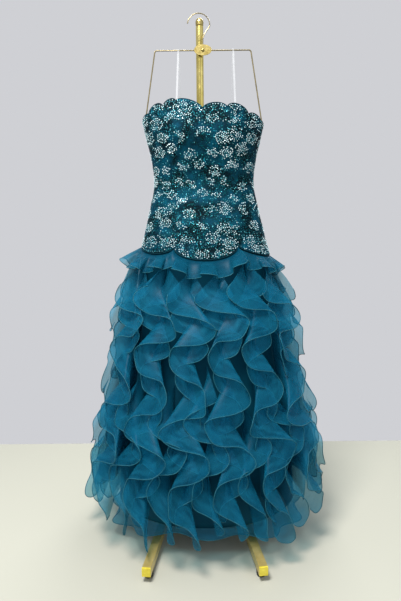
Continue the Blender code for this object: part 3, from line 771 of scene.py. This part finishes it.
# Rolled binding along the scallops of the neck and the hip.
def makeBinding(name, start, end):
    points, faces = [], []
    count = 260 if end - start > 2 else 130
    for edge, inward in ((neckline, -0.0006), (hipEdge, 0.0006)):
        path = []
        for k in range(count + 1):
            angle = start + 0.004 + (end - start - 0.008) * k / count
            path.append(bodicePoint(angle, edge(angle) + inward, -bodice["wall"] / 2))
        tubePoints, tubeFaces = tubeAlong(path, bodice["bindingRadius"])
        faces += [tuple(v + len(points) for v in face) for face in tubeFaces]
        points += tubePoints
    return newPiece(name, points, faces, ["binding"])


def makeBodicePanel(node, name, start, end, grid):
    columns, rows = grid
    angles = [start + (end - start) * c / columns for c in range(columns + 1)]
    outer, inner = [], []
    for row in range(rows + 1):
        for side, out in ((outer, 0.0), (inner, -bodice["wall"])):
            line = []
            for angle in angles:
                low, high = hipEdge(angle), neckline(angle)
                height = high + (low - high) * row / rows
                line.append(seamed(bodicePoint(angle, height, out), angle, start, end))
            side.append(line)
    points = [p for row in outer + inner for p in row]
    faces = shellFaces(rows + 1, columns + 1)
    count = columns * rows
    picks = [0] * count + [1] * (len(faces) - count)
    piece = newPiece(name, points, faces, ["lace", "facing"], picks)
    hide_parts(node)
    return piece, outer


def makeBodice():
    draw = random.Random(beading["seed"])
    half = fullGirth / 2
    quarter = fullGirth / 4
    spare = 0.02  # past each seam, where the last flowers are cut off
    # Node, name, the angles and the distances round the waist where it starts and ends
    panels = [
        ("bodice_front", "laceBodiceFront", -math.pi, 0.0, -quarter, quarter),
        ("bodice_back_right", "laceBodiceBackRight", 0.0, math.pi / 2, quarter, half),
        ("bodice_back_left", "laceBodiceBackLeft", math.pi / 2, math.pi, half, half + quarter),
    ]
    for node, name, start, end, low, high in panels:
        grid = bodice["frontGrid"] if node == "bodice_front" else bodice["backGrid"]
        piece, rows = makeBodicePanel(node, name, start, end, grid)
        extras = [
            sewStones(name + "Stones", start, end, low - spare, high + spare, draw),
            sewSequins(name + "Sequins", start, end, low - spare, high + spare, draw),
            makeBinding(name + "Binding", start, end),
        ]
        print(name, "with", [len(extra.data.polygons) for extra in extras], "trim faces")


makeBodice()


# Skirt

skirt = {
    "liningTop": 0.930,
    "liningHem": 0.100,
    "tuck": 0.0011,
    "liningGrid": (96, 60),
    "bandTop": 0.160,
    "bandWaves": 11,
    "bandFlare": 0.0168,
    "bandWave": 0.016,
    "bandEdge": (0.078, 0.052),  # height in the middle of the front, at the sides
    "bandDip": 0.008,  # how much the edge rises and falls on the way round
    "bandDrift": 0.8,  # radians by which its waves crowd and spread
    "hip": 0.880,
    "firstSeam": -0.47,
    "seamsSpaced": 0.6,  # height where the seams lie evenly apart
    "ruffleEnd": (0.188, 0.018),  # mean height where the seams end, and how much it varies
    "endPace": 2.3,  # radians from one seam to the next, by which their ends vary
    "underFrill": 0.032,
    "stand": (0.064, 0.122),  # how far the free edge stands out: at the hip, at the hem
    "droop": (0.076, 0.112),
    "sway": (0.074, 0.045),
    "wave": (0.150, 0.210),
    "curl": (0.012, 0.010),
    "tilt": 0.05,
    "uneven": (0.20, 0.12),  # of the sway, of the droop
    "unevenPaces": (0.41, 0.5),  # against the waves' own pace
    "bow": 0.25,  # how much faster a strip stands out near its seam than near its edge
    "topGrowth": 0.060,
    "endGrowth": 0.060,
    "topSize": 0.85,
    "endSize": 0.85,
    "endCorner": (0.030, 0.22),  # height of the rounded corner, share of the width it takes off
    "shortLag": 0.03,
    "shortSize": 0.90,
    "rowsPerWave": 40,
    "cellsOut": 16,
    "seamOut": 0.0009,
    "edgeRadius": 0.0011,
    "ply": (0.74, 0.42, 0.006),  # size, waves behind, shorter at each end
    "flutter": 0.0065,
    "flutterPaces": (1.7, 4.3, 2.6),  # slow, fast, in and out, against the waves' own
    "flutterLags": (2.3, 1.7, 2.9),  # radians from one seam to the next
    "flutterShares": (0.45, 0.8),  # of the fast one, of the one in and out
    "gather": 0.0012,
    "gatherPace": 520,  # radians for each metre down the seam
    "late": (1.5, 1.6, 2.5),  # how far out across the cloth it swings, drops and flutters
    "frillUnder": 0.004,  # from the bodice's edge down to the frill's seam
    "frillStand": 0.036,
    "frillDroop": 0.040,
    "frillLess": 0.25,  # share by which it stands out less on the right side
    "frillWaves": 8,
    "frillWave": 0.017,
    "frillCurl": 0.0110,
    "frillUneven": 0.24,
    "frillDrift": 0.9,
    "clothWidth": {"long": 0.120, "ply": 0.100, "frill": 0.060},  # for the weave's scale
}
underRings = [
    (0.860, 0.196, 0.103),
    (0.760, 0.211, 0.124),
    (0.600, 0.229, 0.152),
    (0.440, 0.252, 0.181),
    (0.280, 0.270, 0.206),
    (0.100, 0.283, 0.226),
]
tucked = [size - bodice["wall"] - skirt["tuck"] for size in readRings(bodiceRings, skirt["liningTop"])]
liningRings = [(skirt["liningTop"], tucked[0], min(tucked[1:]))] + underRings
halves = [("front", math.pi), ("back", 0.0)]  # with the angle where each half starts
# Where each long ruffle is in its wave, in whole waves: at the hip, at the hem
longPhases = [
    (0.34, 0.44),
    (0.40, 0.49),
    (0.45, 0.53),
    (0.48, 0.56),
    (0.45, 0.52),
    (0.41, 0.46),
    (0.45, 0.48),
    (0.49, 0.53),
    (0.46, 0.51),
    (0.41, 0.45),
    (0.37, 0.40),
    (0.40, 0.44),
    (0.41, 0.46),
    (0.37, 0.42),
]
# Shorter ruffles: the long seam each one follows, top height
shortRuffles = [
    (0, 0.560),
    (1, 0.450),
    (2, 0.520),
    (3, 0.580),
    (4, 0.430),
    (5, 0.540),
    (6, 0.480),
    (7, 0.530),
    (8, 0.440),
    (9, 0.530),
    (10, 0.580),
    (11, 0.460),
    (12, 0.540),
    (13, 0.500),
]


def liningPoint(angle, height, out=0.0):
    wide, deep = readRings(liningRings, height)
    return Vector(((wide + out) * math.cos(angle), (deep + out) * math.sin(angle), height))


# Straight out of the lining, and level along it.
def liningWays(angle, height):
    wide, deep = readRings(liningRings, height)
    normal = Vector((math.cos(angle) / wide, math.sin(angle) / deep, 0)).normalized()
    return normal, Vector((-normal.y, normal.x, 0))


def makeLining():
    columns, rows = skirt["liningGrid"]
    top, hem = skirt["liningTop"], skirt["liningHem"]
    for half, start in halves:
        end = start + math.pi
        angles = [start + math.pi * c / columns for c in range(columns + 1)]
        grids = []
        for out in (-0.0007, -0.0007 - bodice["wall"]):
            grids.append(
                [
                    [
                        seamed(liningPoint(a, top + (hem - top) * r / rows, out), a, start, end)
                        for a in angles
                    ]
                    for r in range(rows + 1)
                ]
            )
        points = [p for grid in grids for row in grid for p in row]
        faces = shellFaces(rows + 1, columns + 1)
        piece = newPiece(f"satinLining{half.title()}", points, faces, ["lining"])
        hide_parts(f"lining_{half}")


def bandEdge(angle):
    middle, side = skirt["bandEdge"]
    front = max(0.0, -math.sin(angle)) ** 3
    return side + (middle - side) * front + skirt["bandDip"] * math.sin(3 * angle + 0.6)


def makeBand():
    rows, columns = 18, 200
    inside = bodice["wall"] + 0.0012
    for half, start in halves:
        end = start + math.pi
        grid, cut = [], []
        for r in range(rows + 1):
            line = []
            for c in range(columns + 1):
                angle = start + math.pi * c / columns
                height = skirt["bandTop"] + (bandEdge(angle) - skirt["bandTop"]) * r / rows
                under = max(0.0, (skirt["liningHem"] - height) / (skirt["liningHem"] - bandEdge(angle)))
                turn = skirt["bandWaves"] * angle + skirt["bandDrift"] * math.sin(2 * angle)
                wave = skirt["bandWave"] * math.sin(turn)
                out = -inside + (skirt["bandFlare"] + wave + inside) * under**1.3
                point = liningPoint(angle, max(height, skirt["liningHem"]), out)
                point.z = height
                line.append(seamed(point, angle, start, end))
                cut.append((0.02 + 0.1 * r / rows, 0.27 * (angle - start)))
            grid.append(line)
        points = [p for row in grid for p in row]
        faces = gridFaces(rows + 1, columns + 1)
        picks = [0] * len(faces)
        tubePoints, tubeFaces = tubeAlong(grid[-1], skirt["edgeRadius"], 5)
        faces += [tuple(v + len(points) for v in face) for face in tubeFaces]
        picks += [1] * len(tubeFaces)
        cut += [(0.0, 0.27 * math.pi * (n // 5) / columns) for n in range(len(tubePoints))]
        points += tubePoints
        name, look = f"sheerHem{half.title()}", ["organza", "rolledEdge"]
        piece = newPiece(name, points, faces, look, picks, cut)
        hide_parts(f"hem_band_{half}")


# Angles of the lining's ring against the share of the way round, from the middle of the front.
def seamTable():
    wide, deep = readRings(liningRings, skirt["seamsSpaced"])
    steps, along, table = 720, 0.0, [(0.0, frontAngle)]
    for k in range(1, steps + 1):
        a, b = (frontAngle + 2 * math.pi * n / steps for n in (k - 1, k))
        along += math.hypot(
            wide * (math.cos(b) - math.cos(a)), deep * (math.sin(b) - math.sin(a))
        )
        table.append((along, b))
    return [(part / along, angle) for part, angle in table]


seams = seamTable()


def seamAngle(share):
    share = share % 1.0
    k = next(i for i in range(len(seams) - 1) if seams[i + 1][0] >= share)
    (a0, f0), (a1, f1) = seams[k], seams[k + 1]
    return f0 + (f1 - f0) * (share - a0) / (a1 - a0)


# How many waves a ruffle has made from the hip down to a height.
def wavesDown(height):
    top, hem = skirt["wave"]
    drop = skirt["hip"] - skirt["liningHem"]
    growth = hem - top
    return math.log(1 + growth / top * (skirt["hip"] - height) / drop) / growth * drop


def phaseAt(seam, down):
    k = int(seam)
    here, after = (longPhases[n % len(longPhases)] for n in (k, k + 1))
    hereNow = here[0] + (here[1] - here[0]) * down
    afterNow = after[0] + (after[1] - after[0]) * down
    lag = skirt["shortLag"] if seam > k else 0.0
    return hereNow + (afterNow - hereNow) * (seam - k) + lag


def between(key, down):
    top, hem = skirt[key]
    return top + (hem - top) * down


# The share of its full size that a ruffle has at a height, smaller towards its two ends.
def grownAt(height, top, bottom):
    fromTop = min(1.0, (top - height) / skirt["topGrowth"])
    fromEnd = min(1.0, (height - bottom) / skirt["endGrowth"])
    risen = skirt["topSize"] + (1 - skirt["topSize"]) * fromTop
    corner, taken = skirt["endCorner"]
    rounded = 1 - taken * (1 - math.sqrt(max(0.0, min(1.0, (height - bottom) / corner))))
    return risen * rounded * (skirt["endSize"] + (1 - skirt["endSize"]) * math.sqrt(max(0.0, fromEnd)))


# Points from the seam to the free edge, where a strip crosses one height.
def ruffleRow(angle, height, top, bottom, seam, size, cells, behind=0.0):
    down = (skirt["hip"] - height) / (skirt["hip"] - skirt["liningHem"])
    turn = 2 * math.pi * (phaseAt(seam, down) + wavesDown(height) - behind)
    grown = grownAt(height, top, bottom) * size
    unevenSway, unevenDroop = skirt["uneven"]
    paceSway, paceDroop = skirt["unevenPaces"]
    slowPace, fastPace, outPace = skirt["flutterPaces"]
    slowLag, fastLag, outLag = skirt["flutterLags"]
    fastShare, outShare = skirt["flutterShares"]
    swings, drops, flutters = skirt["late"]
    side = between("sway", down) * math.sin(turn) * grown
    side *= 1 + unevenSway * math.sin(paceSway * turn)
    droop = between("droop", down) * grown * (1 + unevenDroop * math.sin(paceDroop * turn))
    stand = between("stand", down) * grown
    lift = between("curl", down) * math.sin(2 * turn) * grown - skirt["tilt"] * side
    normal, along = liningWays(angle, height)
    start = liningPoint(angle, height, skirt["seamOut"])
    row = []
    for cell in range(cells + 1):
        s = cell / cells
        flutter = skirt["flutter"] * grown * s**flutters
        slow = math.sin(turn * slowPace + seam * slowLag)
        fast = math.sin(turn * fastPace + seam * fastLag)
        ripple = flutter * (slow + fastShare * fast)
        curve = flutter * outShare * math.cos(turn * outPace + seam * outLag)
        gathersAndSeamShade = math.sin(height * skirt["gatherPace"] + seam)
        pucker = skirt["gather"] * (1 - s) ** 2 * s * 4 * gathersAndSeamShade
        row.append(
            start
            + normal * (stand * s * (1 + skirt["bow"] - skirt["bow"] * s) + curve)
            + along * (side * s**swings + ripple + pucker)
            + Vector((0, 0, lift * s**swings - droop * s**drops))
        )
    return row


# One strip of organza with its rolled free edge; grid rows run from the seam to that edge.
def stripPiece(name, grid, width):
    cells = len(grid[0]) - 1
    points = [p for row in grid for p in row]
    cut, along = [], 0.0
    for r, row in enumerate(grid):
        if r:
            along += (row[-1] - grid[r - 1][-1]).length
        cut += [(width * c / cells, along) for c in range(cells + 1)]
    faces = gridFaces(len(grid), cells + 1)
    picks = [0] * len(faces)
    edge = [row[-1] for row in grid]
    tubePoints, tubeFaces = tubeAlong(edge, skirt["edgeRadius"], 5)
    faces += [tuple(v + len(points) for v in face) for face in tubeFaces]
    picks += [1] * len(tubeFaces)
    cut += [(width, cut[(n // 5 + 1) * (cells + 1) - 1][1]) for n in range(len(tubePoints))]
    points += tubePoints
    return newPiece(name, points, faces, ["organza", "rolledEdge"], picks, cut)


def makeStrip(name, node, grid, width):
    piece = stripPiece(name, grid, width)
    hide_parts(node)


# The inner layer of a double ruffle: narrower, sewn in the same seam, its swings a little behind.
def makePly(number, seam, angle, top, bottom):
    size, behind, inset = skirt["ply"]
    top, bottom = top - inset, bottom + inset
    count = math.ceil((wavesDown(bottom) - wavesDown(top)) * skirt["rowsPerWave"] * 0.8)
    heights = [top - (top - bottom) * n / count for n in range(count + 1)]
    grid = [ruffleRow(angle, h, top, bottom, seam, size, 10, behind) for h in heights]
    return stripPiece(f"organzaPly{number:02d}", grid, skirt["clothWidth"]["ply"])


def makeRuffle(number, seam, top, size):
    angle = seamAngle((seam + skirt["firstSeam"]) / len(longPhases))
    top = min(top, hipEdge(angle) - skirt["underFrill"])
    end, varies = skirt["ruffleEnd"]
    bottom = end + varies * math.sin(skirt["endPace"] * seam)
    count = math.ceil((wavesDown(bottom) - wavesDown(top)) * skirt["rowsPerWave"])
    heights = [top - (top - bottom) * n / count for n in range(count + 1)]
    grid = [ruffleRow(angle, h, top, bottom, seam, size, skirt["cellsOut"]) for h in heights]
    extras = []
    if size == 1.0:
        extras = [makePly(number, seam, angle, top, bottom)]
    name, node = f"organzaRuffle{number:02d}", f"ruffle_{number:02d}"
    makeStrip(name, node, grid, skirt["clothWidth"]["long"])


# The short frill that hides the ruffles' tops, sewn along the hip under the bodice's edge.
def makeFrills():
    columns, cells = 240, 10
    for half, start in halves:
        grid = []
        for c in range(columns + 1):
            angle = start + math.pi * c / columns
            height = hipEdge(angle) - skirt["frillUnder"]
            normal, along = liningWays(angle, height)
            turn = 2 * skirt["frillWaves"] * angle + skirt["frillDrift"] * math.sin(3 * angle)
            flat = 1 - skirt["frillLess"] * max(0.0, math.cos(angle))
            stand = skirt["frillStand"] * flat
            row = []
            for cell in range(cells + 1):
                s = cell / cells
                wave = skirt["frillWave"] * flat * (1 + math.sin(turn))
                droop = skirt["frillDroop"] * (1 - skirt["frillUneven"] * math.sin(turn + 0.5))
                row.append(
                    liningPoint(angle, height, skirt["seamOut"])
                    + normal * (stand * s * (1 + skirt["bow"] - skirt["bow"] * s) + wave * s**1.6)
                    - along * skirt["frillCurl"] * math.sin(2 * turn) * s**1.5
                    - Vector((0, 0, droop * s**1.5))
                )
            grid.append(row)
        name, node = f"organzaFrill{half.title()}", f"hip_frill_{half}"
        makeStrip(name, node, grid, skirt["clothWidth"]["frill"])


def makeRuffles():
    strips = [(k, skirt["hip"], 1.0) for k in range(len(longPhases))]
    strips += [(k + 0.5, top, skirt["shortSize"]) for k, top in shortRuffles]
    for number, (seam, top, size) in enumerate(strips, 1):
        makeRuffle(number, seam, top, size)
    makeFrills()


makeLining()
makeBand()
makeRuffles()
print("skirt ready")


# Stand

corners = [f"{end}_{hand}" for end in ("front", "back") for hand in ("left", "right")]
standFinishes = {
    "postGold": ["post"],
    "gold": ["base_crossbar"] + [f"leg_{corner}" for corner in corners],
    "plateGold": ["plate", "plate_screw", "post_cap"],
    "wire": ["wire_frame", "hook"],
    "cap": [f"leg_cap_{corner}" for corner in corners],
    "rubber": [f"foot_{corner}" for corner in corners],
}
tapes = {
    "width": 0.0054,
    "thick": 0.0006,
    "inside": 0.0035,  # from the bodice's face in to the tape's middle
    "frame": (-0.0135, 1.459, 0.0036),  # y and height of the frame's top wire, reach round it
    "left": (245.0, 112.5),  # degrees round the bodice, at the front and at the back
    "right": (300.0, 60.0),
    "front": (0.026, 0.010),  # drops under the neckline
    "back": (0.008, 0.024),
}


# A flat tape from inside the front, over the frame's top wire and down inside the back.
def makeTape(side):
    frameY, frameTop, reach = tapes["frame"]
    ends = []
    for degrees, drops in zip(tapes[side], (tapes["front"], tapes["back"])):
        angle = math.radians(degrees)
        top = neckline(angle)
        ends.append([bodicePoint(angle, top - drop, -tapes["inside"]) for drop in drops])
    rising, falling = ends
    over = []
    for k in range(17):
        turn = math.radians(200 - 220 * k / 16)
        x = rising[1].x + (falling[0].x - rising[1].x) * (0.46 + 0.08 * k / 16)
        over.append(Vector((x, frameY + reach * math.cos(turn), frameTop + reach * math.sin(turn))))
    path = rising + over + falling
    points, faces = [], []
    for k, place in enumerate(path):
        way = (path[min(k + 1, len(path) - 1)] - path[max(k - 1, 0)]).normalized()
        across = (Vector((1, 0, 0)) - way * way.x).normalized() * tapes["width"] / 2
        face = across.cross(way).normalized() * tapes["thick"] / 2
        for edge, flat in ((-1, -1), (1, -1), (1, 1), (-1, 1)):
            points.append(place + across * edge + face * flat)
    for k in range(len(path) - 1):
        for n in range(4):
            a, b = 4 * k + n, 4 * k + (n + 1) % 4
            faces.append((a, b, b + 4, a + 4))
    faces += [(3, 2, 1, 0), tuple(len(points) - 4 + n for n in range(4))]
    piece = newPiece(f"hangerTape{side.title()}", points, faces, ["tape"], smooth=False)
    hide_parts(f"hanger_loop_{side}")


def finishStand():
    for key, nodes in standFinishes.items():
        for node in nodes:
            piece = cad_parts[node]
            for slot in piece.material_slots:
                slot.material = finishes[key]


finishStand()
for side in ("left", "right"):
    makeTape(side)
print("stand ready")
